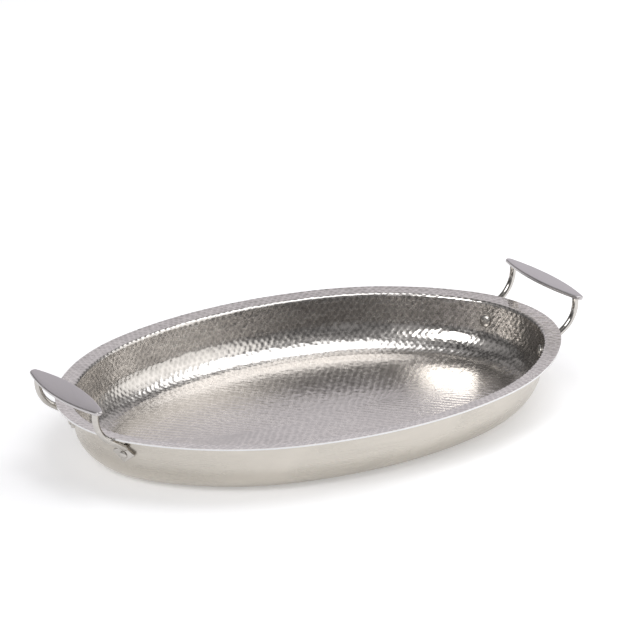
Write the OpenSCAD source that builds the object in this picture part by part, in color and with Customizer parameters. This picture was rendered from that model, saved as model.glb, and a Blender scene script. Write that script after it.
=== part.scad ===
// Oval pan of hammered clad steel with two raised grips, each welded on two bent legs that are riveted to the wall.
// The base stands on z = 0 with its middle at the origin, +X points along the pan's length, and +Z points up.

/* [Pan] */
// Length over the rim
rim_length = 456; // [440:1:470]
// Width over the rim
rim_width = 310; // [300:1:320]
// Height of the rim's top edge above the table
rim_height = 49; // [47:0.5:51]
// Radius of the oval's ends, at the rim's edge
end_radius = 110; // [108:1:114]
// Width of the flat flange round the rim
flange_width = 11.8; // [10:0.2:14]
// Rise of the flange towards its edge, in degrees
flange_rise = 6; // [2:1:10]
// Radius of the roll from the flange into the wall
roll_radius = 3; // [2.6:0.1:4]
// Lean of the wall from upright, in degrees
wall_lean = 8; // [6:1:10]
// Inside radius between the wall and the floor
corner_radius = 27; // [24:1:30]

/* [Sheet] */
// Thickness of the hammered inner liner
liner = 0.4; // [0.3:0.1:0.6]
// Thickness of the aluminium core
core = 1.2; // [0.8:0.1:1.2]
// Thickness of the brushed outer shell
shell = 0.4; // [0.3:0.1:0.6]

/* [Grips] */
// Length of a grip plate
grip_length = 109; // [104:1:112]
// Width of a grip plate
grip_width = 21.7; // [21:0.1:24]
// Thickness of a grip plate
grip_thickness = 3.2; // [2.4:0.1:4]
// Radius that rounds a grip plate's edges
grip_edge = 1.2; // [0.8:0.1:1.2]
// Height of a grip plate's middle above the table
grip_height = 76; // [75:0.5:79]
// How far the middle of a grip plate stands outside the rim
grip_overhang = 6; // [5:0.5:7]
// Outward tilt of a grip plate, in degrees
grip_tilt = 8.5; // [4:0.5:12]

/* [Legs] */
// Diameter of a leg's rod
rod = 5.5; // [4.5:0.1:5.5]
// Distance between the tops of a grip's two legs
leg_spacing = 92; // [84:1:94]
// Radius of a leg's bend
bend_radius = 27.4; // [26:0.1:28]
// Angle of a leg's bend, in degrees
bend_angle = 57; // [55:1:58]
// Thickness of the foot that is riveted to the wall
foot_thickness = 2.6; // [2:0.1:3.2]

/* [Rivets] */
// Direction of a rivet from the middle of the end curve, in degrees from the pan's length
rivet_angle = 25.6; // [24:0.1:28]
// Height of a rivet above the table
rivet_height = 31; // [30:0.5:32]
// Diameter of a rivet's shank
shank = 5; // [4:0.1:5]
// Diameter of the domed head inside the pan
head = 10.5; // [9:0.1:12]
// Height of the domed head
head_height = 2.2; // [1.6:0.1:2.6]
// Diameter of the domed tail on the foot
tail = 7; // [6.4:0.1:8]
// Height of the domed tail
tail_height = 1.8; // [1.4:0.1:2.2]

/* [Hidden] */
$fn = 120;

left = -1;
right = 1;
front = -1;
back = 1;
steel = [0.76, 0.74, 0.72];
aluminium = [0.85, 0.85, 0.86];
polished = [0.84, 0.83, 0.81];

// Outlines are made of arcs. They join where the outline faces the direction of a 3-4-5 triangle's side,
// or twice that angle, which keeps every centre a round number. An arc is [centre, radius, last direction].
joins = [[0.8, 0.6], [0.28, 0.96]];
excess = [for (j = joins) j.x + j.y - 1];
wedge_reach = 1000;

// The pan's rim: an end, a shoulder and a side arc
half_length = rim_length / 2;
half_width = rim_width / 2;
end_share = joins[0].x / excess[0];
side_growth = (end_radius - half_length + end_share * (half_length - half_width))
    / (end_share * excess[1] - joins[1].x);
shoulder_growth = (half_length - half_width - excess[1] * side_growth) / excess[0];
end_centre = [half_length - end_radius, 0];
shoulder_centre = end_centre - shoulder_growth * joins[0];
rim = [
    [end_centre, end_radius, joins[0]],
    [shoulder_centre, end_radius + shoulder_growth, joins[1]],
    [shoulder_centre - side_growth * joins[1], end_radius + shoulder_growth + side_growth, [0, 1]]
];

// A grip plate: a tip and a side arc
tip_share = joins[1].x / (1 - joins[1].y);
tip_radius = (tip_share * grip_width - grip_length) / 2 / (tip_share - 1);
grip_growth = (grip_length / 2 - tip_radius) / joins[1].x;
grip = [
    [[grip_length / 2 - tip_radius, 0], tip_radius, joins[1]],
    [[0, grip_width / 2 - tip_radius - grip_growth], tip_radius + grip_growth, [0, 1]]
];
edge_steps = 3;
grip_lap = 2.4;

// The sheet's section. Insets are measured inwards from the rim's edge.
sheet = liner + core + shell;
roll_steps = 5;
corner_steps = 12;
floor_lap = 12;
roll_inset = flange_width - roll_radius * sin(flange_rise);
roll_z = rim_height - flange_width * tan(flange_rise) - roll_radius * cos(flange_rise);
wall_inset = roll_inset + roll_radius * cos(wall_lean);
wall_z = roll_z + roll_radius * sin(wall_lean);
corner_z = sheet + corner_radius;
corner_top_z = corner_z - corner_radius * sin(wall_lean);
corner_inset = wall_inset + (wall_z - corner_top_z) * tan(wall_lean) + corner_radius * cos(wall_lean);
floor_inset = corner_inset + floor_lap;

// The wall where a rivet goes through it, on the liner's face
rivet_radius = end_radius - wall_inset - (wall_z - rivet_height) * tan(wall_lean);
rivet_point = [end_centre.x + rivet_radius * cos(rivet_angle), rivet_radius * sin(rivet_angle), rivet_height];
wall_out = [cos(wall_lean) * cos(rivet_angle), cos(wall_lean) * sin(rivet_angle), -sin(wall_lean)];
wall_along = [-sin(rivet_angle), cos(rivet_angle), 0];
wall_up = cross(wall_out, wall_along);

// The foot's outline on the wall, as [along, up] from the rivet
foot_corners = [[9, 1.4], [0, -5.6], [-8.6, 1.8], [1.2, 6.4]];
foot_round = 1.4;
foot_sink = 0.9;

// The leg's line, from under the grip to the foot
leg_sides = 20;
bend_steps = 7;
leg_top = [half_length + grip_overhang, leg_spacing / 2];
leg_end = on_wall(1.5, 7.6, sheet + rod / 2 + 0.3);
leg_run = norm([leg_end.x, leg_end.y] - leg_top);
leg_in = ([leg_end.x, leg_end.y] - leg_top) / leg_run;
slant_length = (leg_run - bend_radius * (1 - cos(bend_angle))) / sin(bend_angle);
bend_top = leg_end.z + bend_radius * sin(bend_angle) + slant_length * cos(bend_angle);
neck = [
    // [along, up, out, half width, half thickness]
    [1.3, 6.0, sheet + 2.3, 3.4, 2.2],
    [1.0, 4.2, sheet + 1.3, 4.0, 1.1]
];

// Coordinates to a thousandth of a millimetre, so that neighbouring arcs share their edges exactly
function round_point(p) = [round(p.x * 1000) / 1000, round(p.y * 1000) / 1000];

// The sheet's section at a depth below the hammered face, from the rim's edge to the floor
function skin(depth) = [
    for (p = concat(
        [[0, rim_height - depth / cos(flange_rise)]],
        [for (i = [0 : roll_steps])
            let (facing = 90 - flange_rise - i / roll_steps * (90 - flange_rise - wall_lean))
            [-roll_inset - (roll_radius - depth) * cos(facing), roll_z + (roll_radius - depth) * sin(facing)]],
        [for (i = [0 : corner_steps])
            let (facing = wall_lean + i / corner_steps * (90 - wall_lean))
            [-corner_inset + (corner_radius + depth) * cos(facing), corner_z - (corner_radius + depth) * sin(facing)]],
        [[-floor_inset, sheet - depth]]
    )) round_point(p)
];

function reversed(list) = [for (i = [len(list) - 1 : -1 : 0]) list[i]];

// A point on the wall by the rivet: along the wall, up it, and out of it from the liner's face
function on_wall(along, up, out) = rivet_point + along * wall_along + up * wall_up + out * wall_out;

// The point of an outline, moved inwards by an inset, where it faces a direction
function outline_point(outline, inset, facing) =
    let (
        c = abs(cos(facing)),
        s = abs(sin(facing)),
        arc = [for (a = outline) if (atan2(s, c) <= atan2(a[2].y, a[2].x)) a][0],
        p = arc[0] + (arc[1] - inset) * [c, s]
    ) [sign(cos(facing)) * p.x, sign(sin(facing)) * p.y];

// One arc of an outline: its children are the section, with x = 0 on the outline
module arc_sweep(arc, from, to) {
    intersection() {
        translate(arc[0]) rotate(180) rotate_extrude() translate([arc[1], 0]) children();
        translate([0, 0, -wedge_reach / 2]) linear_extrude(wedge_reach)
            polygon([arc[0], arc[0] + wedge_reach * from, arc[0] + wedge_reach * to]);
    }
}

// The section swept round a whole outline, arc by arc
module outline_sweep(outline) {
    last = len(outline) - 1;
    for (flip = [0, 1]) {
        end = outline[0][2];
        side = outline[last - 1][2];
        mirror([flip, 0, 0]) arc_sweep(outline[0], [end.x, -end.y], end) children();
        mirror([0, flip, 0]) arc_sweep(outline[last], side, [-side.x, side.y]) children();
        if (last > 1)
            for (turn = [0, 1])
                mirror([flip, 0, 0]) mirror([0, turn, 0]) arc_sweep(outline[1], end, side) children();
    }
}

// A flat slab that fills an outline, moved inwards by an inset
module outline_slab(outline, inset, thickness) {
    linear_extrude(thickness) polygon([for (facing = [0 : 5 : 355]) outline_point(outline, inset, facing)]);
}

// A layer of the sheet between two depths, with the rivet holes
module layer(upper, lower) {
    difference() {
        union() {
            outline_sweep(rim) polygon(concat(skin(upper), reversed(skin(lower))));
            translate([0, 0, sheet - lower]) outline_slab(rim, floor_inset - floor_lap / 2, lower - upper);
        }
        for (side = [left, right], row = [front, back]) corner(side, row) shank_rod();
    }
}

// Everything above a depth of the sheet, as the end curve has it
module end_block(depth) {
    translate(end_centre) rotate(180) rotate_extrude() translate([end_radius, 0])
        polygon(concat(skin(depth), [[-floor_inset, rim_height + 1], [0, rim_height + 1]]));
}

// Puts a piece that is drawn for the right back corner at any corner
module corner(side, row) {
    mirror([side == left ? 1 : 0, 0, 0]) mirror([0, row == front ? 1 : 0, 0]) children();
}

// The rivet's own frame: +Z points out of the wall, +Y along it, and -X up it
module at_rivet() {
    translate(rivet_point) rotate([0, 0, rivet_angle]) rotate([0, 90 + wall_lean, 0]) children();
}

module shank_rod() {
    at_rivet() translate([0, 0, -head_height / 2])
        cylinder(d = shank, h = head_height / 2 + sheet + foot_thickness + tail_height / 2);
}

// A domed cap on a short lip that reaches down by lip
module dome(diameter, height, lip) {
    ball = (pow(diameter / 2, 2) + height * height) / (2 * height);
    rotate_extrude() intersection() {
        translate([0, height - ball]) circle(ball);
        square([diameter, height]);
    }
    if (lip > 0) translate([0, 0, -lip]) cylinder(d = diameter, h = lip);
}

module rivet() {
    shank_rod();
    intersection() {
        at_rivet() mirror([0, 0, 1]) dome(head, head_height, 0.4);
        end_block(0);
    }
    at_rivet() translate([0, 0, sheet + foot_thickness]) dome(tail, tail_height, 0);
}

module foot_outline() {
    hull() for (p = foot_corners) translate([-p.y, p.x]) circle(foot_round, $fn = 32);
}

// The forged foot: a diamond whose back fits the wall, drilled for the rivet
module foot() {
    difference() {
        at_rivet() translate([0, 0, sheet - foot_sink]) linear_extrude(foot_sink + foot_thickness) foot_outline();
        end_block(sheet);
        shank_rod();
    }
}

// A ring of points round a middle, across a side direction and a thickness direction
function ring(middle, side, thick, half_width, half_thickness) = [
    for (i = [0 : leg_sides - 1])
        let (turn = 360 * i / leg_sides)
        middle + half_width * cos(turn) * side + half_thickness * sin(turn) * thick
];

// The height of a grip plate's underside at a distance along the pan
function grip_underside(x) = grip_height - (x - leg_top.x) * tan(grip_tilt) - grip_thickness / 2 / cos(grip_tilt);

// The rod's rings: the top one lies in the grip's underside, and the last ones widen into the foot
function leg_rings() =
    let (
        side = [leg_in.y, -leg_in.x, 0],
        inward = [leg_in.x, leg_in.y, 0],
        top = ring([leg_top.x, leg_top.y, 0], side, inward, rod / 2, rod / 2)
    )
    concat(
        [[for (p = top) [p.x, p.y, grip_underside(p.x)]]],
        [for (i = [0 : bend_steps])
            let (
                turn = bend_angle * i / bend_steps,
                middle = [leg_top.x, leg_top.y, bend_top]
                    + bend_radius * ((1 - cos(turn)) * inward - [0, 0, sin(turn)]))
            ring(middle, side, cos(turn) * inward + [0, 0, sin(turn)], rod / 2, rod / 2)],
        [ring(leg_end, side, cos(bend_angle) * inward + [0, 0, sin(bend_angle)], rod / 2, rod / 2)],
        [for (n = neck) ring(on_wall(n[0], n[1], n[2]), wall_along, -wall_out, n[3], n[4])]
    );

module leg_rod() {
    rings = leg_rings();
    last = (len(rings) - 1) * leg_sides;
    polyhedron(
        points = [for (r = rings) each r],
        faces = concat(
            [[for (i = [leg_sides - 1 : -1 : 0]) i]],
            [for (k = [0 : leg_sides : last - 1], i = [0 : leg_sides - 1])
                let (next = (i + 1) % leg_sides)
                each [[k + i, k + next, k + leg_sides + i], [k + next, k + leg_sides + next, k + leg_sides + i]]],
            [[for (i = [0 : leg_sides - 1]) last + i]]
        )
    );
}

module leg() {
    foot();
    leg_rod();
}

// The section of a grip plate's edge
function grip_section() = [
    for (p = concat(
        [[-grip_lap, -grip_thickness / 2]],
        [for (way = [-1, 1], i = [0 : edge_steps])
            let (turn = way * 90 * (way < 0 ? 1 - i / edge_steps : i / edge_steps))
            [grip_edge * (cos(turn) - 1), way * (grip_thickness / 2 - grip_edge) + grip_edge * sin(turn)]],
        [[-grip_lap, grip_thickness / 2]]
    )) round_point(p)
];

module grip_plate() {
    translate([leg_top.x, 0, grip_height]) rotate([0, grip_tilt, 0]) rotate(90) {
        outline_sweep(grip) polygon(grip_section());
        translate([0, 0, -grip_thickness / 2])
            outline_slab(grip, (grip_edge + grip_lap) / 2, grip_thickness);
    }
}

module inner_liner() { color(steel) layer(0, liner); }
module aluminium_core() { color(aluminium) layer(liner, liner + core); }
module outer_shell() { color(steel) layer(liner + core, sheet); }
module grip_plate_left() { color(steel) mirror([1, 0, 0]) grip_plate(); }
module grip_plate_right() { color(steel) grip_plate(); }
module leg_left_front() { color(polished) corner(left, front) leg(); }
module leg_left_back() { color(polished) corner(left, back) leg(); }
module leg_right_front() { color(polished) corner(right, front) leg(); }
module leg_right_back() { color(polished) corner(right, back) leg(); }
module rivet_left_front() { color(polished) corner(left, front) rivet(); }
module rivet_left_back() { color(polished) corner(left, back) rivet(); }
module rivet_right_front() { color(polished) corner(right, front) rivet(); }
module rivet_right_back() { color(polished) corner(right, back) rivet(); }

inner_liner();
aluminium_core();
outer_shell();
grip_plate_left();
grip_plate_right();
leg_left_front();
leg_left_back();
leg_right_front();
leg_right_back();
rivet_left_front();
rivet_left_back();
rivet_right_front();
rivet_right_back();
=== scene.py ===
"""An oval hammered pan with two raised grips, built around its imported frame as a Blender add-on."""

import math
import random

import bmesh
import bpy
from mathutils import Matrix, Vector, kdtree, noise


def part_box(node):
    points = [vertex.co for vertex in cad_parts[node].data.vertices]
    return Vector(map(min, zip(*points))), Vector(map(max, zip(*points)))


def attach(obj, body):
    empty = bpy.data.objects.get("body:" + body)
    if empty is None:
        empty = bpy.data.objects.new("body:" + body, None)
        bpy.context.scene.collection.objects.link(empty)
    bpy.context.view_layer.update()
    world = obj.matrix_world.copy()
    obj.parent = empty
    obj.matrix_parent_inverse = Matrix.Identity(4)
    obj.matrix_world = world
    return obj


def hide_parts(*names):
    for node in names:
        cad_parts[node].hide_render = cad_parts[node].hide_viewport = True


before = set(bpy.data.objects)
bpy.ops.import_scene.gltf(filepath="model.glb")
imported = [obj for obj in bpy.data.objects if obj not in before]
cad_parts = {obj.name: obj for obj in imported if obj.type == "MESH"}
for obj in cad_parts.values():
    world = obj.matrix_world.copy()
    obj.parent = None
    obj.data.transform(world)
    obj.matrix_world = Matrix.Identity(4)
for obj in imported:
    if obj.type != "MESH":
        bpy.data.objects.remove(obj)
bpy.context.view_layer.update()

bl_info = {
    "name": "Hammered Oval Pan",
    "version": (1, 0, 0),
    "blender": (4, 5, 0),
    "location": "View3D > Sidebar > Pan",
    "description": "Builds a hammered clad pan with riveted grips and its studio",
    "category": "Add Mesh",
}

# The directions that an outline's joins face: a 3-4-5 triangle's side, and twice that angle.
JOINS = (Vector((0.8, 0.6)), Vector((0.28, 0.96)))
SIDES = ("left", "right")
ROWS = ("front", "back")

# The foot on the wall: the middles of its rounded corners, along the wall and up it from the rivet.
FOOT = [Vector((0.0012, 0.0064)), Vector((-0.0086, 0.0018)), Vector((0, -0.0056)), Vector((0.009, 0.0014))]
FOOT_ROUND = 0.0014
# Where the straight rod ends above the foot: along, up and out from the rivet.
ROD_END = Vector((0.0015, 0.0076, 0.00505))
# The weld under the grip plate: its width beside the rod's, and how far it is below the plate.
WELD = ((1.22, -0.0001), (1.2, 0.0003), (1.08, 0.0008), (1, 0.0015))
# The upright edge of a rivet's head and tail, under the dome.
LIP = 0.0003
# The rod's neck: along, up and out from the rivet, then half its width and half its depth.
NECK = (
    (0.0013, 0.006, 0.0043, 0.0034, 0.0022),
    (0.001, 0.0042, 0.0033, 0.004, 0.0012),
    (0.0008, 0.0028, 0.003, 0.0036, 0.0007),
)

# How far apart the flange's wrinkles are, how far in from its edges they reach full depth, and the rim's dip.
WRINKLE_SPACING = 0.0042
WRINKLE_FADE = 0.002
RIM_DIP = 0.00012
# How many points the liner's plain underside has all round.
UNDERSIDE_POINTS = 240

# Each softbox's name, place, size, power in watts and colour.
LIGHTS = (
    ("fill_panel", (1.75, -1.15, 0.95), (2.3, 1.9), 15, (1, 0.99, 0.97)),
    ("top_softbox", (0.75, -0.2, 2.1), (1.5, 1.7), 21, (0.97, 0.98, 1)),
)
# The direction that the even key light comes from.
KEY = (-0.72, -0.26, 0.68)
# Where the backdrop starts and is full, as cosines of the angle from its middle.
BACKDROP_EDGE = (0.74, 0.97)


def box_size(node):
    """The lowest corner, the highest corner and the size of a CAD node."""
    low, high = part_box(node)
    return low, high, high - low


_, LINER_HIGH, LINER_SIZE = box_size("inner_liner")
GRIP_LOW, GRIP_HIGH, GRIP_SIZE = box_size("grip_plate_right")


def length(name, text, default):
    """A length's setting, in metres."""
    return bpy.props.FloatProperty(
        name=name, description=text, default=default, min=0, unit="LENGTH", precision=5,
    )


def angle(name, text, degrees):
    """An angle's setting, given in degrees and kept in radians."""
    return bpy.props.FloatProperty(
        name=name, description=text, default=math.radians(degrees), subtype="ANGLE",
    )


def colour(name, text, default):
    """A colour's setting."""
    return bpy.props.FloatVectorProperty(
        name=name, description=text, default=default, min=0, max=1, subtype="COLOR",
    )


class PanSheet(bpy.types.PropertyGroup):
    rim_length: length("Rim length", "Length over the rim", LINER_SIZE.x)
    rim_width: length("Rim width", "Width over the rim", LINER_SIZE.y)
    rim_height: length("Rim height", "Height of the rim's top edge above the table", LINER_HIGH.z)
    end_radius: length("End radius", "Radius of the oval's ends at the rim's edge", 0.110)
    flange_width: length("Flange width", "Width of the flat flange round the rim", 0.0118)
    flange_rise: angle("Flange rise", "Rise of the flange towards its edge", 6)
    roll_radius: length("Roll radius", "Radius of the roll from the flange into the wall", 0.003)
    wall_lean: angle("Wall lean", "Lean of the wall from upright", 8)
    corner_radius: length("Corner radius", "Inside radius between the wall and the floor", 0.027)
    liner: length("Liner", "Thickness of the hammered inner liner", 0.0004)
    core: length("Core", "Thickness of the aluminium core", 0.0012)
    shell: length("Shell", "Thickness of the brushed outer shell", 0.0004)


class PanHammer(bpy.types.PropertyGroup):
    pitch: length("Pitch", "Distance between hammer marks along a row", 0.0056)
    row: length("Row", "Distance between rows of hammer marks", 0.0038)
    face_radius: length("Face radius", "Radius of the dents that the hammer leaves", 0.01)
    depth: length("Depth", "Depth of a dent", 0.00034)
    wander: length("Wander", "How far a mark strays from its place", 0.0008)
    floor_share: bpy.props.FloatProperty(
        name="Floor share", description="How deep the floor's dents are beside the wall's",
        default=0.7, min=0, max=1,
    )
    wrinkle: length("Wrinkle", "Depth of the wrinkles across the flange", 0.0001)
    seed: bpy.props.IntProperty(name="Seed", description="Picks how the marks stray", default=7, min=0)


class PanGrip(bpy.types.PropertyGroup):
    grip_length: length("Length", "Length of a grip plate", GRIP_SIZE.y)
    grip_width: length("Width", "Width of a grip plate", 0.0217)
    thickness: length("Thickness", "Thickness of a grip plate", 0.0032)
    edge: length("Edge", "Radius that rounds a grip plate's edges", 0.0012)
    tilt: angle("Tilt", "Outward tilt of a grip plate", 8.5)
    rod: length("Rod", "Diameter of a leg's rod", 0.0055)
    leg_spacing: length("Leg spacing", "Distance between the tops of a grip's legs", 0.092)
    bend_radius: length("Bend radius", "Radius of a leg's bend", 0.0274)
    bend_angle: angle("Bend angle", "Angle of a leg's bend", 57)
    foot_thickness: length("Foot thickness", "Thickness of a leg's foot", 0.0026)


class PanRivet(bpy.types.PropertyGroup):
    direction: angle("Direction", "Direction of a rivet from the middle of the end curve", 25.6)
    height: length("Height", "Height of a rivet above the table", 0.031)
    shank: length("Shank", "Diameter of a rivet's shank", 0.005)
    head: length("Head", "Diameter of the domed head inside the pan", 0.0105)
    head_height: length("Head height", "Height of the domed head", 0.0022)
    tail: length("Tail", "Diameter of the domed tail on the foot", 0.007)
    tail_height: length("Tail height", "Height of the domed tail", 0.0018)


class PanMetal(bpy.types.PropertyGroup):
    hammered: colour("Hammered steel", "Colour of the hammered liner", (0.66, 0.632, 0.602))
    brushed: colour("Brushed steel", "Colour of the outer shell", (0.6, 0.565, 0.51))
    satin: colour("Satin steel", "Colour of the grip plates", (0.60, 0.575, 0.575))
    polished: colour("Polished steel", "Colour of the legs and rivets", (0.6, 0.575, 0.54))
    aluminium: colour("Aluminium", "Colour of the core", (0.82, 0.82, 0.83))


class PanStage(bpy.types.PropertyGroup):
    floor_size: length("Floor", "Side of the floor", 8.0)
    floor_colour: colour("Floor colour", "Colour of the floor", (0.95, 0.95, 0.96))
    floor_glow: bpy.props.FloatProperty(
        name="Floor glow", description="How much the lit floor shines by itself", default=0.27, min=0,
    )
    sun: bpy.props.FloatProperty(
        name="Sun", description="Strength of the even key light", default=1.1, min=0,
    )
    sun_angle: angle("Sun angle", "How wide the even key light is", 28)
    walls_colour: colour("Walls", "Colour of the dim studio round the pan", (0.4, 0.395, 0.4))
    clutter: bpy.props.FloatProperty(
        name="Clutter", description="How finely the studio's walls are broken up", default=4.5, min=0,
    )
    backdrop_colour: colour("Backdrop colour", "Colour of the pale backdrop", (0.76, 0.735, 0.78))
    backdrop: bpy.props.FloatVectorProperty(
        name="Backdrop", description="Direction of the middle of the pale backdrop",
        default=(0.5, 0.82, 0.22), subtype="DIRECTION",
    )
    azimuth: angle("Azimuth", "Direction that the camera looks from", -32.785)
    elevation: angle("Elevation", "Height of the camera above the horizon", 21.489)
    distance: length("Distance", "Distance from the camera to its target", 4.2598)
    target: bpy.props.FloatVectorProperty(
        name="Target", description="Point that the camera looks at", default=(-0.0589, -0.1046, 0.1357),
        subtype="TRANSLATION",
    )
    lens: bpy.props.FloatProperty(name="Lens", description="Focal length", default=299.7, unit="CAMERA")


class PanSettings(bpy.types.PropertyGroup):
    sheet: bpy.props.PointerProperty(type=PanSheet)
    hammer: bpy.props.PointerProperty(type=PanHammer)
    grip: bpy.props.PointerProperty(type=PanGrip)
    rivet: bpy.props.PointerProperty(type=PanRivet)
    metal: bpy.props.PointerProperty(type=PanMetal)
    stage: bpy.props.PointerProperty(type=PanStage)


# ---------------------------------------------------------------- outlines


class Outline:
    """A closed oval of arcs, each a centre, a radius and the direction that its last point faces."""

    def __init__(self, arcs):
        self.arcs = [(centre, radius, math.atan2(last.y, last.x)) for centre, radius, last in arcs]

    def point(self, inset, facing):
        """The point where the outline, moved inwards by inset, faces a direction."""
        c, s = math.cos(facing), math.sin(facing)
        turn = math.atan2(abs(s), abs(c))
        centre, radius, _ = next(arc for arc in self.arcs if turn <= arc[2] + 1e-9)
        x = centre.x + (radius - inset) * abs(c)
        y = centre.y + (radius - inset) * abs(s)
        return Vector((math.copysign(x, c), math.copysign(y, s)))

    def quarter(self, inset):
        """The lengths of a quarter's arcs and the directions that they start from."""
        start, arcs = 0.0, []
        for _, radius, end in self.arcs:
            arcs.append(((radius - inset) * (end - start), start, end))
            start = end
        return arcs

    def perimeter(self, inset):
        return 4 * sum(run for run, _, _ in self.quarter(inset))

    def facing(self, fraction, inset):
        """The direction that the outline faces at a fraction of the way round it."""
        quarter, along = divmod(fraction % 1 * 4, 1)
        if quarter % 2:
            along = 1 - along
        arcs = self.quarter(inset)
        left = along * sum(run for run, _, _ in arcs)
        for run, start, end in arcs:
            if left <= run * 1.000001:
                break
            left -= run
        turn = start + (end - start) * left / run
        return (turn, math.pi - turn, math.pi + turn, -turn)[int(quarter)]


def rim_outline(sheet):
    """The pan's rim: end, shoulder and side arcs to each quarter."""
    a, b, r = sheet.rim_length / 2, sheet.rim_width / 2, sheet.end_radius
    excess = [join.x + join.y - 1 for join in JOINS]
    share = JOINS[0].x / excess[0]
    side_growth = (r - a + share * (a - b)) / (share * excess[1] - JOINS[1].x)
    shoulder_growth = (a - b - excess[1] * side_growth) / excess[0]
    end = Vector((a - r, 0))
    shoulder = end - shoulder_growth * JOINS[0]
    side = shoulder - side_growth * JOINS[1]
    return Outline([
        (end, r, JOINS[0]),
        (shoulder, r + shoulder_growth, JOINS[1]),
        (side, r + shoulder_growth + side_growth, Vector((0, 1))),
    ])


def grip_outline(grip):
    """A grip plate's lens, with its length along X: tip and side arcs to each quarter."""
    share = JOINS[1].x / (1 - JOINS[1].y)
    tip = (share * grip.grip_width - grip.grip_length) / 2 / (share - 1)
    growth = (grip.grip_length / 2 - tip) / JOINS[1].x
    return Outline([
        (Vector((grip.grip_length / 2 - tip, 0)), tip, JOINS[1]),
        (Vector((0, grip.grip_width / 2 - tip - growth)), tip + growth, Vector((0, 1))),
    ])


def rounded(corners, radius, steps=6):
    """A polygon's outline, counterclockwise, with an arc round each of its corners."""
    points = []
    befores, afters = corners[-1:] + corners[:-1], corners[1:] + corners[:1]
    for before, corner, after in zip(befores, corners, afters):
        into, out = corner - before, after - corner
        start = math.atan2(-into.x, into.y)
        turn = (math.atan2(-out.x, out.y) - start) % (2 * math.pi)
        for k in range(steps + 1):
            facing = start + turn * k / steps
            points.append(corner + radius * Vector((math.cos(facing), math.sin(facing))))
    return points


# ---------------------------------------------------------------- the clad sheet


class Sheet:
    """The pan's sheet. A station is the distance down the hammered face from the rim's edge."""

    def __init__(self, sheet):
        rise, lean = sheet.flange_rise, sheet.wall_lean
        roll, corner = sheet.roll_radius, sheet.corner_radius
        self.rise, self.lean, self.roll, self.corner = rise, lean, roll, corner
        self.rim = rim_outline(sheet)
        self.rim_height = sheet.rim_height
        self.thickness = sheet.liner + sheet.core + sheet.shell
        self.roll_inset = sheet.flange_width - roll * math.sin(rise)
        self.roll_z = sheet.rim_height - sheet.flange_width * math.tan(rise) - roll * math.cos(rise)
        self.wall_inset = self.roll_inset + roll * math.cos(lean)
        self.wall_z = self.roll_z + roll * math.sin(lean)
        self.corner_z = self.thickness + corner
        drop = self.wall_z - self.corner_z + corner * math.sin(lean)
        self.floor_inset = self.wall_inset + drop * math.tan(lean) + corner * math.cos(lean)
        self.flange_end = sheet.flange_width / math.cos(rise)
        self.roll_end = self.flange_end + roll * (math.pi / 2 - rise - lean)
        self.wall_end = self.roll_end + drop / math.cos(lean)
        self.corner_end = self.wall_end + corner * (math.pi / 2 - lean)
        half_length = sheet.rim_length / 2 - self.floor_inset
        half_width = sheet.rim_width / 2 - self.floor_inset
        self.middle = self.corner_end + half_width
        self.closing = half_width / half_length
        self.spine = half_length - half_width

    def section(self, station, depth):
        """The inset, the height and the facing at a station, at a depth below the hammered face."""
        if station <= self.flange_end:
            facing = math.pi / 2 - self.rise
            inset, z = station * math.cos(self.rise), self.rim_height - station * math.sin(self.rise)
        elif station <= self.roll_end:
            facing = math.pi / 2 - self.rise - (station - self.flange_end) / self.roll
            inset = self.roll_inset + self.roll * math.cos(facing)
            z = self.roll_z + self.roll * math.sin(facing)
        elif station <= self.wall_end:
            facing, down = self.lean, station - self.roll_end
            inset, z = self.wall_inset + down * math.sin(facing), self.wall_z - down * math.cos(facing)
        else:
            facing = self.lean + (station - self.wall_end) / self.corner
            inset = self.floor_inset - self.corner * math.cos(facing)
            z = self.corner_z - self.corner * math.sin(facing)
        if station <= 0:
            return 0.0, z - depth / math.cos(self.rise)
        return max(0.0, inset - depth * math.cos(facing)), z - depth * math.sin(facing)

    def point(self, station, fraction, depth=0.0):
        """The sheet's point at a station and a fraction of the way round."""
        facing = self.rim.facing(fraction, self.wall_inset)
        if station <= self.corner_end:
            inset, z = self.section(station, depth)
            return self.rim.point(inset, facing).to_3d() + Vector((0, 0, z))
        closed = (station - self.corner_end) / (self.middle - self.corner_end)
        edge = self.rim.point(self.floor_inset, facing)
        return Vector((edge.x * (1 - closed * self.closing), edge.y * (1 - closed), self.thickness - depth))

    def perimeter(self, station):
        """The length round the sheet at a station."""
        if station <= self.corner_end:
            return self.rim.perimeter(self.wall_inset)
        closed = (station - self.corner_end) / (self.middle - self.corner_end)
        return (1 - closed) * self.rim.perimeter(self.floor_inset) + closed * 4 * self.spine

    def stations(self):
        """Stations that show the section's shape, from the rim's edge to the floor."""
        steps = [0, 0.0002, self.flange_end / 2]
        steps += [self.flange_end + (self.roll_end - self.flange_end) * k / 10 for k in range(11)]
        steps += [self.roll_end + (self.wall_end - self.roll_end) * k / 4 for k in range(1, 4)]
        steps += [self.wall_end + (self.corner_end - self.wall_end) * k / 14 for k in range(15)]
        steps += [self.corner_end + (self.middle - self.corner_end) * k / 8 for k in (0.3, 2, 4, 6)]
        return steps


def sheet_layer(name, sheet, upper, lower, count=480):
    """A layer of the sheet between two depths, extruded from ring to ring out to the rim and back."""
    stations = sheet.stations()
    rings = [[sheet.point(station, i / count, lower) for i in range(count)] for station in reversed(stations)]
    rings += [[sheet.point(station, i / count, upper) for i in range(count)] for station in stations]
    return extruded(name, rings)


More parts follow.
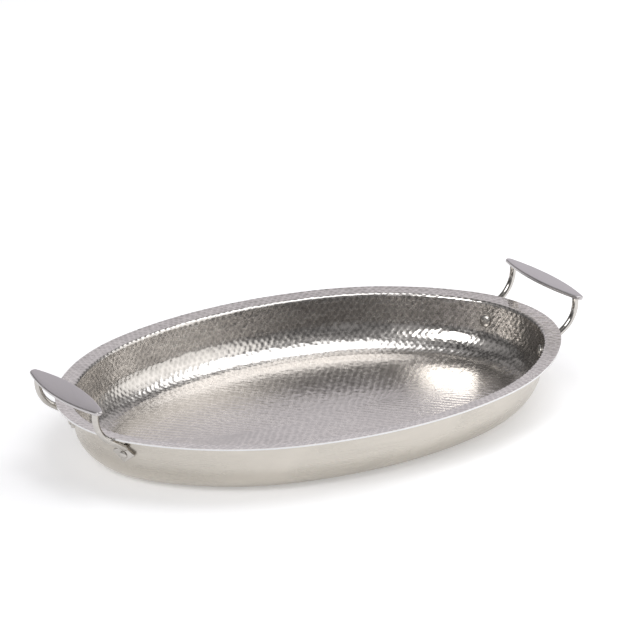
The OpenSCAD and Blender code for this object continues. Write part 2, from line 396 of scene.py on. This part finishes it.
def stitch(a, b, first_a, first_b):
    """Faces between two rings of points, each evenly spaced from the same place."""
    if a == b:
        return [(first_a + i, first_a + (i + 1) % a, first_b + (i + 1) % b, first_b + i) for i in range(a)]
    faces, i, j = [], 0, 0
    while i < a or j < b:
        if j >= b or (i < a and (i + 1) * b <= (j + 1) * a):
            faces.append((first_a + i % a, first_a + (i + 1) % a, first_b + j % b))
            i += 1
        else:
            faces.append((first_a + i % a, first_b + (j + 1) % b, first_b + j % b))
            j += 1
    return faces


def closing_faces(count, first):
    """Faces that join the two sides of a ring which has closed to nearly a line."""
    faces = []
    for i in range(count // 2):
        corners = (i, i + 1, count - i - 1, (count - i) % count)
        faces.append(tuple(first + corner for corner in dict.fromkeys(corners)))
    return faces


def hammer_marks(sheet, hammer, row, rows):
    """A tree of the marks' places, and how deep each was struck."""
    random.seed(hammer.seed)
    places, depths = [], []
    for k in range(rows):
        station = (k + 0.5) * row
        count = round(sheet.perimeter(station) / hammer.pitch)
        for i in range(count):
            astray = random.uniform(-1, 1) * hammer.wander
            along = random.uniform(-1, 1) * hammer.wander / hammer.pitch
            places.append(sheet.point(station + astray, (i + along + k % 2 / 2) / count))
            depths.append(hammer.depth * random.uniform(0.85, 1.1))
    tree = kdtree.KDTree(len(places))
    for k, place in enumerate(places):
        tree.insert(place, k)
    tree.balance()
    return tree, depths


def hammered_liner(name, sheet, hammer, thickness):
    """The inner liner, each hammer mark struck into it. Its mesh follows the marks, unlike an extrusion."""
    rows = round(sheet.middle / hammer.row)
    row = sheet.middle / rows
    tree, depths = hammer_marks(sheet, hammer, row, rows)
    wrinkles = sheet.perimeter(0) / (2 * math.pi * WRINKLE_SPACING)

    def struck(place):
        """How deep the face is struck at a place."""
        near = tree.find_n(place, 3)
        return max(0, max(depths[k] - away * away / 2 / hammer.face_radius for _, k, away in near))

    def wrinkled(station, fraction):
        """How deep the flange's wrinkles are."""
        if station >= sheet.flange_end:
            return 0.0
        turn = 2 * math.pi * fraction
        ripple = noise.noise(Vector((math.cos(turn) * wrinkles, math.sin(turn) * wrinkles, station * 60)))
        fade = min(1, station / WRINKLE_FADE, (sheet.flange_end - station) / WRINKLE_FADE)
        return hammer.wrinkle * (0.6 + ripple) * fade * (0.4 + abs(math.cos(turn)))

    rings = []
    for station in reversed(sheet.stations()):
        turns = [i / UNDERSIDE_POINTS for i in range(UNDERSIDE_POINTS)]
        rings.append([sheet.point(station, turn, thickness) for turn in turns])
    blows = [0.0] * sum(len(ring) for ring in rings)
    steps = [k * row / 2 for k in range(2 * rows) if k * row / 2 > sheet.corner_end]
    steps += [k * row / 3 for k in range(1, 3 * rows) if k * row / 3 < sheet.corner_end - row / 6]
    steps += [sheet.flange_end + (sheet.roll_end - sheet.flange_end) * k / 5 for k in range(1, 5)]
    for station in sorted([0.0, 0.0003, sheet.middle - row / 8] + steps):
        count = 4 * round(sheet.perimeter((station // row + 0.5) * row) / hammer.pitch)
        fade = min(1, max(0, (station - sheet.wall_end) / (sheet.corner_end - sheet.wall_end)))
        share = 1 + (hammer.floor_share - 1) * fade ** 3
        ring = []
        for i in range(count):
            place = sheet.point(station, i / count)
            blow = struck(place)
            blows.append(blow / hammer.depth)
            depth = blow * share + wrinkled(station, i / count) if station else RIM_DIP
            ring.append(sheet.point(station, i / count, depth))
        rings.append(ring)
    points = [point for ring in rings for point in ring]
    faces = closing_faces(len(rings[0]), 0)
    first = 0
    for before, after in zip(rings, rings[1:]):
        faces += stitch(len(before), len(after), first, first + len(before))
        first += len(before)
    faces += closing_faces(len(rings[-1]), first)
    mesh = bpy.data.meshes.new(name)
    mesh.from_pydata(points, [], faces)
    # How deep each point is struck; the hammered steel uses it for roughness and for painted shade in the
    # dents and a painted highlight on the ridges.
    mesh.attributes.new("struck", "FLOAT", "POINT").data.foreach_set("value", blows)
    liner = bpy.data.objects.new(name, mesh)
    bpy.context.collection.objects.link(liner)
    return liner


# ---------------------------------------------------------------- modelling


def pick(piece):
    """Selects one piece alone."""
    bpy.ops.object.select_all(action="DESELECT")
    piece.select_set(True)
    bpy.context.view_layer.objects.active = piece


def extruded(name, rings):
    """A closed piece that starts as a filled circle and is extruded from ring to ring."""
    bpy.ops.object.select_all(action="DESELECT")
    bpy.ops.mesh.primitive_circle_add(vertices=len(rings[0]), fill_type="NGON")
    piece = bpy.context.object
    piece.name = name
    bpy.ops.object.mode_set(mode="EDIT")
    mesh = bmesh.from_edit_mesh(piece.data)
    place = mesh.verts.layers.int.new("place")
    for vertex in mesh.verts:
        vertex[place] = vertex.index
        vertex.co = rings[0][vertex.index]
    bmesh.update_edit_mesh(piece.data)
    bpy.ops.mesh.select_all(action="SELECT")
    for ring in rings[1:]:
        bpy.ops.mesh.extrude_region_move()
        mesh = bmesh.from_edit_mesh(piece.data)
        place = mesh.verts.layers.int["place"]
        for vertex in mesh.verts:
            if vertex.select:
                vertex.co = ring[vertex[place]]
        bmesh.update_edit_mesh(piece.data)
    bpy.ops.object.mode_set(mode="OBJECT")
    piece.data.attributes.remove(piece.data.attributes["place"])
    return piece


def finish(piece, material, nodes, crease=math.radians(35)):
    """Settles a piece: its place, its faces, its shading, its metal, and what it stands for."""
    piece.data.transform(piece.matrix_world)
    piece.matrix_world = Matrix()
    pick(piece)
    bpy.ops.object.mode_set(mode="EDIT")
    bpy.ops.mesh.select_all(action="SELECT")
    bpy.ops.mesh.remove_doubles(threshold=1e-7)
    bpy.ops.mesh.normals_make_consistent(inside=False)
    bpy.ops.object.mode_set(mode="OBJECT")
    bpy.ops.object.shade_smooth_by_angle(angle=crease)
    piece.data.materials.clear()
    piece.data.materials.append(material)
    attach(piece, "root")
    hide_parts(*nodes)


def mirrored(piece, name, side, row):
    """A copy of a right back piece for another corner of the pan, with its own mesh."""
    copy = piece.copy()
    copy.data = piece.data.copy()
    copy.name = name
    flip = Matrix.Diagonal((-1 if side == "left" else 1, -1 if row == "front" else 1, 1, 1))
    copy.data.transform(flip)
    bpy.context.collection.objects.link(copy)
    return copy


# ---------------------------------------------------------------- grips, legs and rivets


def grip_place(grip):
    """The middle of the right grip plate, turned as the plate tilts."""
    middle = (GRIP_LOW + GRIP_HIGH) / 2
    turn = Matrix.Rotation(grip.tilt, 4, "Y") @ Matrix.Rotation(math.pi / 2, 4, "Z")
    return Matrix.Translation(middle) @ turn


def grip_plate(name, grip):
    """The right grip plate, with its edges rounded."""
    outline, half = grip_outline(grip), grip.thickness / 2
    levels = []
    for k in range(6):
        turn = math.pi / 2 * k / 5
        levels.append((grip.edge * (1 - math.sin(turn)), half - grip.edge * (1 - math.cos(turn))))
    levels = [(inset, -z) for inset, z in levels] + [(inset, z) for inset, z in reversed(levels)]
    place = grip_place(grip)
    rings = []
    for inset, z in levels:
        ring = [outline.point(inset, outline.facing(i / 160, grip.edge)) for i in range(160)]
        rings.append([place @ point.to_3d() + place.to_3x3() @ Vector((0, 0, z)) for point in ring])
    return extruded(name, rings)


def rivet_place(sheet, rivet):
    """A rivet's place on the hammered face: X along the wall, Y up it and Z out of it."""
    inset = sheet.wall_inset + (sheet.wall_z - rivet.height) * math.tan(sheet.lean)
    point = sheet.rim.point(inset, rivet.direction)
    along = Matrix.Rotation(rivet.direction + math.pi / 2, 4, "Z")
    turn = along @ Matrix.Rotation(math.pi / 2 + sheet.lean, 4, "X")
    return Matrix.Translation((point.x, point.y, rivet.height)) @ turn


def rivet_piece(name, rivet, place, seat):
    """The right back rivet: a domed head inside the pan, its shank, and a domed tail on the foot."""
    steps = [math.radians(8 + 82 * k / 9) for k in range(10)]
    head, tail = rivet.head_height - LIP, rivet.tail_height - LIP
    levels = [(rivet.head / 2 * math.sin(t), -LIP - head * math.cos(t)) for t in steps]
    levels += [(rivet.head / 2 - LIP, 0), (rivet.shank / 2, 0)]
    levels += [(rivet.shank / 2, seat), (rivet.tail / 2 - LIP, seat)]
    levels += [(rivet.tail / 2 * math.sin(t), seat + LIP + tail * math.cos(t)) for t in reversed(steps)]
    rings = []
    for radius, out in levels:
        turns = [2 * math.pi * i / 40 for i in range(40)]
        rings.append([place @ Vector((radius * math.cos(t), radius * math.sin(t), out)) for t in turns])
    return extruded(name, rings)


def leg_rod(name, grip, place):
    """The right back leg's rod: down from the grip, round its bend, and flattened into the foot."""
    plate = grip_place(grip)
    count, radius = 28, grip.rod / 2
    top = Vector((plate.translation.x, grip.leg_spacing / 2, 0))
    end = place @ ROD_END
    run = (end - top).to_2d()
    heading = run.normalized().to_3d()
    slant = (run.length - grip.bend_radius * (1 - math.cos(grip.bend_angle))) / math.sin(grip.bend_angle)
    bend_z = end.z + slant * math.cos(grip.bend_angle) + grip.bend_radius * math.sin(grip.bend_angle)
    side = Vector((heading.y, -heading.x, 0))
    circle = [2 * math.pi * i / count for i in range(count)]
    under = plate.to_3x3() @ Vector((0, 0, 1))

    def under_plate(point, gap):
        """The point, at a gap below the underside of the grip plate."""
        away = under.dot(plate.translation - point) - grip.thickness / 2 - gap
        return point + Vector((0, 0, away / under.z))

    rings = []
    for weld, gap in WELD:
        ring = [top + weld * radius * (math.cos(t) * side - math.sin(t) * heading) for t in circle]
        rings.append([under_plate(point, gap) for point in ring])
    for k in range(15):
        turn = grip.bend_angle * k / 14
        centre = top + grip.bend_radius * (1 - math.cos(turn)) * heading
        centre.z = bend_z - grip.bend_radius * math.sin(turn)
        out = Vector((-math.cos(turn) * heading.x, -math.cos(turn) * heading.y, -math.sin(turn)))
        rings.append([centre + radius * (math.cos(t) * side + math.sin(t) * out) for t in circle])
    out = Vector((-math.cos(turn) * heading.x, -math.cos(turn) * heading.y, -math.sin(turn)))
    rings.append([end + radius * (math.cos(t) * side + math.sin(t) * out) for t in circle])
    for along, up, forward, half_width, half_depth in NECK:
        oval = [(half_width * math.cos(t), half_depth * math.sin(t)) for t in circle]
        ring = [Vector((along + across, up, forward + out)) for across, out in oval]
        rings.append([place @ point for point in ring])
    return extruded(name, rings)


def leg_foot(grip, place, seat, back):
    """The right back leg's foot: a rounded diamond with softened edges."""
    outline = rounded(FOOT, FOOT_ROUND)
    soft = 0.0008
    middle = Vector((0, 0.0007))
    levels = [(0, back)]
    turns = (0, 0.4, 0.8, 1.2, math.pi / 2)
    levels += [(soft * (1 - math.cos(t)), seat - soft * (1 - math.sin(t))) for t in turns]
    rings = []
    for inset, out in levels:
        ring = [point + (middle - point).normalized() * inset for point in outline]
        rings.append([place @ Vector((point.x, point.y, out)) for point in ring])
    return extruded("foot", rings)


def united(piece, other):
    """Two overlapping closed pieces as one."""
    pick(piece)
    union = piece.modifiers.new("Union", "BOOLEAN")
    union.operation = "UNION"
    union.solver = "EXACT"
    union.object = other
    bpy.ops.object.modifier_apply(modifier=union.name)
    bpy.data.objects.remove(other)
    return piece


# ---------------------------------------------------------------- metals


class Nodes:
    """A material's nodes, added and linked one after another."""

    def __init__(self, name):
        self.material = bpy.data.materials.new(name)
        self.material.use_nodes = True
        self.tree = self.material.node_tree
        self.shader = self.tree.nodes["Principled BSDF"]
        self.place = self.add("ShaderNodeTexCoord").outputs["Object"]

    def add(self, kind, **values):
        node = self.tree.nodes.new(kind)
        for name, value in values.items():
            setattr(node, name, value)
        return node

    def join(self, output, socket):
        self.tree.links.new(output, socket)

    def noise(self, scale, detail=4, rough=0.6, twist=0.0):
        """Noise stretched by a scale for each axis, which are counts per metre."""
        mapping = self.add("ShaderNodeMapping")
        mapping.inputs["Scale"].default_value = scale
        self.join(self.place, mapping.inputs["Vector"])
        texture = self.add("ShaderNodeTexNoise")
        texture.inputs["Scale"].default_value = 1
        texture.inputs["Detail"].default_value = detail
        texture.inputs["Roughness"].default_value = rough
        texture.inputs["Distortion"].default_value = twist
        self.join(mapping.outputs["Vector"], texture.inputs["Vector"])
        return texture.outputs["Fac"]

    def spread(self, value, low, high):
        """A noise's middle range spread between two values."""
        spread = self.add("ShaderNodeMapRange")
        for name, number in (("From Min", 0.3), ("From Max", 0.7), ("To Min", low), ("To Max", high)):
            spread.inputs[name].default_value = number
        self.join(value, spread.inputs["Value"])
        return spread.outputs["Result"]

    def tint(self, colour, value, low, high):
        """A colour made darker and lighter by a noise."""
        scale = self.add("ShaderNodeVectorMath", operation="SCALE")
        scale.inputs[0].default_value = colour
        self.join(self.spread(value, low, high), scale.inputs["Scale"])
        self.join(scale.outputs["Vector"], self.shader.inputs["Base Color"])

    def relief(self, value, height):
        """A bump of a height in metres."""
        bump = self.add("ShaderNodeBump")
        bump.inputs["Strength"].default_value = 1
        bump.inputs["Distance"].default_value = height
        self.join(value, bump.inputs["Height"])
        return bump.outputs["Normal"]


def metal(name, colour, rough, grain, grain_height, patches, shade):
    """A metal with a grain and patches of duller metal."""
    nodes = Nodes(name)
    nodes.shader.inputs["Metallic"].default_value = 1
    lines = nodes.noise(grain, detail=5)
    cloud = nodes.noise(patches, detail=5, rough=0.65, twist=0.6)
    dull = nodes.add("ShaderNodeMath", operation="ADD")
    nodes.join(nodes.spread(lines, -0.04, 0.04), dull.inputs[0])
    nodes.join(nodes.spread(cloud, *rough), dull.inputs[1])
    nodes.join(dull.outputs["Value"], nodes.shader.inputs["Roughness"])
    nodes.tint(colour, cloud, *shade)
    nodes.join(nodes.relief(lines, grain_height), nodes.shader.inputs["Normal"])
    return nodes.material


def hammered_metal(metals):
    """The hammered steel: smoother in the dents than on the ridges between them, with painted shade darkening
    the dents and a painted highlight lightening the ridges.
    """
    material = metal("hammered_steel", metals.hammered, (0.15, 0.24), (700, 700, 700), 0.00001, (26, 26, 60),
                     (0.88, 1.05))
    nodes, links = material.node_tree.nodes, material.node_tree.links
    shader = nodes["Principled BSDF"]
    struck = nodes.new("ShaderNodeAttribute")
    struck.attribute_name = "struck"
    # Base Color: painted shade darkens the dents and a painted highlight lightens the ridges; Roughness:
    # smoother dents, rougher ridges.
    for socket, ridge, dent in (("Base Color", 1.16, 0.8), ("Roughness", 1.35, 0.8)):
        plain = shader.inputs[socket].links[0].from_socket
        share = nodes.new("ShaderNodeMapRange")
        share.inputs["To Min"].default_value = ridge
        share.inputs["To Max"].default_value = dent
        links.new(struck.outputs["Fac"], share.inputs["Value"])
        scale = nodes.new("ShaderNodeVectorMath")
        scale.operation = "SCALE"
        links.new(plain, scale.inputs[0])
        links.new(share.outputs["Result"], scale.inputs["Scale"])
        links.new(scale.outputs["Vector"], shader.inputs[socket])
    return material


def shell_metal(metals):
    return metal("brushed_shell", metals.brushed, (0.24, 0.34), (6, 6, 2600), 0.00003, (14, 14, 40),
                 (0.9, 1.05))


def grip_metal(metals):
    return metal("satin_grip", metals.satin, (0.33, 0.43), (1700, 10, 1700), 0.00002, (60, 20, 60),
                 (0.93, 1.04))


def leg_metal(metals):
    return metal("polished_leg", metals.polished, (0.08, 0.16), (500, 500, 120), 0.00001, (120, 120, 120),
                 (0.85, 1.03))


def rivet_metal(metals):
    return metal("polished_rivet", metals.polished, (0.26, 0.34), (600, 600, 600), 0.00001, (200, 200, 200),
                 (0.85, 1.03))


def core_metal(metals):
    return metal("core_aluminium", metals.aluminium, (0.35, 0.45), (6, 6, 2000), 0.00002, (50, 50, 50),
                 (0.9, 1.03))


def floor_paper(stage):
    """The floor's paper, with a faint tooth."""
    nodes = Nodes("studio_paper")
    nodes.shader.inputs["Roughness"].default_value = 0.9
    nodes.shader.inputs["Specular IOR Level"].default_value = 0.1
    nodes.shader.inputs["Emission Color"].default_value = (1, 1, 1, 1)
    nodes.shader.inputs["Emission Strength"].default_value = stage.floor_glow
    nodes.tint(stage.floor_colour, nodes.noise((3, 3, 3)), 0.995, 1.005)
    return nodes.material


# ---------------------------------------------------------------- operators


class PanOperator(bpy.types.Operator):
    """What the pan's operators share"""

    bl_options = {"REGISTER", "UNDO"}

    @classmethod
    def poll(cls, context):
        return context.mode == "OBJECT"

    def execute(self, context):
        self.build(context.scene.hammered_pan)
        return {"FINISHED"}


class PAN_OT_stage(PanOperator):
    """Adds the floor, the studio lights and the camera"""

    bl_idname = "pan.stage"
    bl_label = "Stage"

    def build(self, pan):
        stage = pan.stage
        bpy.ops.object.select_all(action="DESELECT")
        bpy.ops.mesh.primitive_plane_add(size=stage.floor_size)
        floor = bpy.context.object
        floor.name = "studio_floor"
        floor.data.materials.append(floor_paper(stage))
        for name, place, size, power, tone in LIGHTS:
            bpy.ops.object.light_add(type="AREA", location=place)
            lamp = bpy.context.object
            lamp.name = name
            lamp.rotation_euler = (-Vector(place)).to_track_quat("-Z", "Y").to_euler()
            lamp.data.shape = "RECTANGLE"
            lamp.data.size, lamp.data.size_y = size
            lamp.data.energy = power
            lamp.data.color = tone
        bpy.ops.object.light_add(type="SUN", location=KEY)
        sun = bpy.context.object
        sun.name = "key_sun"
        sun.rotation_euler = (-Vector(KEY)).to_track_quat("-Z", "Y").to_euler()
        sun.data.energy = stage.sun
        sun.data.angle = stage.sun_angle
        surroundings(stage)
        bpy.ops.object.camera_add()
        camera = bpy.context.object
        camera.name = "camera"
        camera.data.lens = stage.lens
        camera.data.clip_end = 50
        flat = math.cos(stage.elevation)
        back = Vector((
            math.sin(stage.azimuth) * flat, -math.cos(stage.azimuth) * flat, math.sin(stage.elevation),
        ))
        camera.location = Vector(stage.target) + stage.distance * back
        camera.rotation_euler = back.to_track_quat("Z", "Y").to_euler()
        bpy.context.scene.camera = camera
        bpy.context.scene.view_settings.view_transform = "Standard"


def surroundings(stage):
    """The studio round the pan: dim and broken up, with a pale backdrop low behind the pan."""
    world = bpy.data.worlds.new("studio")
    bpy.context.scene.world = world
    world.use_nodes = True
    nodes, links = world.node_tree.nodes, world.node_tree.links
    direction = nodes.new("ShaderNodeTexCoord").outputs["Generated"]
    clutter = nodes.new("ShaderNodeTexNoise")
    clutter.inputs["Scale"].default_value = stage.clutter
    clutter.inputs["Detail"].default_value = 2
    links.new(direction, clutter.inputs["Vector"])
    lit = nodes.new("ShaderNodeMapRange")
    for name, value in (("From Min", 0.42), ("From Max", 0.6), ("To Min", 0.12), ("To Max", 1)):
        lit.inputs[name].default_value = value
    links.new(clutter.outputs["Fac"], lit.inputs["Value"])
    walls = nodes.new("ShaderNodeVectorMath")
    walls.operation = "SCALE"
    walls.inputs[0].default_value = stage.walls_colour
    links.new(lit.outputs["Result"], walls.inputs["Scale"])
    towards = nodes.new("ShaderNodeVectorMath")
    towards.operation = "DOT_PRODUCT"
    towards.inputs[1].default_value = Vector(stage.backdrop).normalized()
    links.new(direction, towards.inputs[0])
    edge = nodes.new("ShaderNodeMapRange")
    edge.interpolation_type = "SMOOTHSTEP"
    edge.inputs["From Min"].default_value, edge.inputs["From Max"].default_value = BACKDROP_EDGE
    links.new(towards.outputs["Value"], edge.inputs["Value"])
    mix = nodes.new("ShaderNodeMix")
    mix.data_type = "RGBA"
    mix.inputs["B"].default_value = (*stage.backdrop_colour, 1)
    links.new(walls.outputs["Vector"], mix.inputs["A"])
    links.new(edge.outputs["Result"], mix.inputs["Factor"])
    links.new(mix.outputs["Result"], nodes["Background"].inputs["Color"])


class PAN_OT_liner(PanOperator):
    """Adds the hammered inner liner"""

    bl_idname = "pan.liner"
    bl_label = "Hammered liner"

    def build(self, pan):
        liner = hammered_liner("hammered_liner", Sheet(pan.sheet), pan.hammer, pan.sheet.liner)
        finish(liner, hammered_metal(pan.metal), ["inner_liner"], math.radians(60))


class PAN_OT_core(PanOperator):
    """Adds the aluminium core"""

    bl_idname = "pan.core"
    bl_label = "Aluminium core"

    def build(self, pan):
        core = sheet_layer("core_sheet", Sheet(pan.sheet), pan.sheet.liner, pan.sheet.liner + pan.sheet.core)
        finish(core, core_metal(pan.metal), ["aluminium_core"])


class PAN_OT_shell(PanOperator):
    """Adds the brushed outer shell"""

    bl_idname = "pan.shell"
    bl_label = "Brushed shell"

    def build(self, pan):
        sheet = Sheet(pan.sheet)
        shell = sheet_layer("brushed_shell", sheet, pan.sheet.liner + pan.sheet.core, sheet.thickness)
        finish(shell, shell_metal(pan.metal), ["outer_shell"])


class PAN_OT_grips(PanOperator):
    """Adds the two grip plates"""

    bl_idname = "pan.grips"
    bl_label = "Grip plates"

    def build(self, pan):
        material = grip_metal(pan.metal)
        plate = grip_plate("grip_right", pan.grip)
        copy = mirrored(plate, "grip_left", "left", "back")
        finish(plate, material, ["grip_plate_right"], math.radians(30))
        finish(copy, material, ["grip_plate_left"], math.radians(30))


class PAN_OT_legs(PanOperator):
    """Adds the four bent legs with their feet"""

    bl_idname = "pan.legs"
    bl_label = "Legs"

    def build(self, pan):
        material = leg_metal(pan.metal)
        sheet = Sheet(pan.sheet)
        place = rivet_place(sheet, pan.rivet)
        seat = sheet.thickness + pan.grip.foot_thickness
        foot = leg_foot(pan.grip, place, seat, sheet.thickness - pan.sheet.shell)
        leg = united(leg_rod("leg_right_back_rod", pan.grip, place), foot)
        for side in SIDES:
            for row in ROWS:
                copy = mirrored(leg, f"bent_leg_{side}_{row}", side, row)
                finish(copy, material, [f"leg_{side}_{row}"])
        bpy.data.objects.remove(leg)


class PAN_OT_rivets(PanOperator):
    """Adds the four domed rivets"""

    bl_idname = "pan.rivets"
    bl_label = "Rivets"

    def build(self, pan):
        material = rivet_metal(pan.metal)
        sheet = Sheet(pan.sheet)
        place = rivet_place(sheet, pan.rivet)
        rivet = rivet_piece("rivet", pan.rivet, place, sheet.thickness + pan.grip.foot_thickness)
        for side in SIDES:
            for row in ROWS:
                copy = mirrored(rivet, f"domed_rivet_{side}_{row}", side, row)
                finish(copy, material, [f"rivet_{side}_{row}"])
        bpy.data.objects.remove(rivet)


OPERATORS = (PAN_OT_stage, PAN_OT_liner, PAN_OT_core, PAN_OT_shell, PAN_OT_grips, PAN_OT_legs, PAN_OT_rivets)


class PAN_PT_panel(bpy.types.Panel):
    bl_label = "Hammered Oval Pan"
    bl_idname = "PAN_PT_panel"
    bl_space_type = "VIEW_3D"
    bl_region_type = "UI"
    bl_category = "Pan"

    def draw(self, context):
        for operator in OPERATORS:
            self.layout.operator(operator.bl_idname)


CLASSES = (PanSheet, PanHammer, PanGrip, PanRivet, PanMetal, PanStage, PanSettings, *OPERATORS, PAN_PT_panel)


def register():
    for cls in CLASSES:
        bpy.utils.register_class(cls)
    bpy.types.Scene.hammered_pan = bpy.props.PointerProperty(type=PanSettings)


def unregister():
    del bpy.types.Scene.hammered_pan
    for cls in reversed(CLASSES):
        bpy.utils.unregister_class(cls)


def main():
    register()
    for operator in OPERATORS:
        group, name = operator.bl_idname.split(".")
        getattr(getattr(bpy.ops, group), name)()


if __name__ == "__main__":
    main()
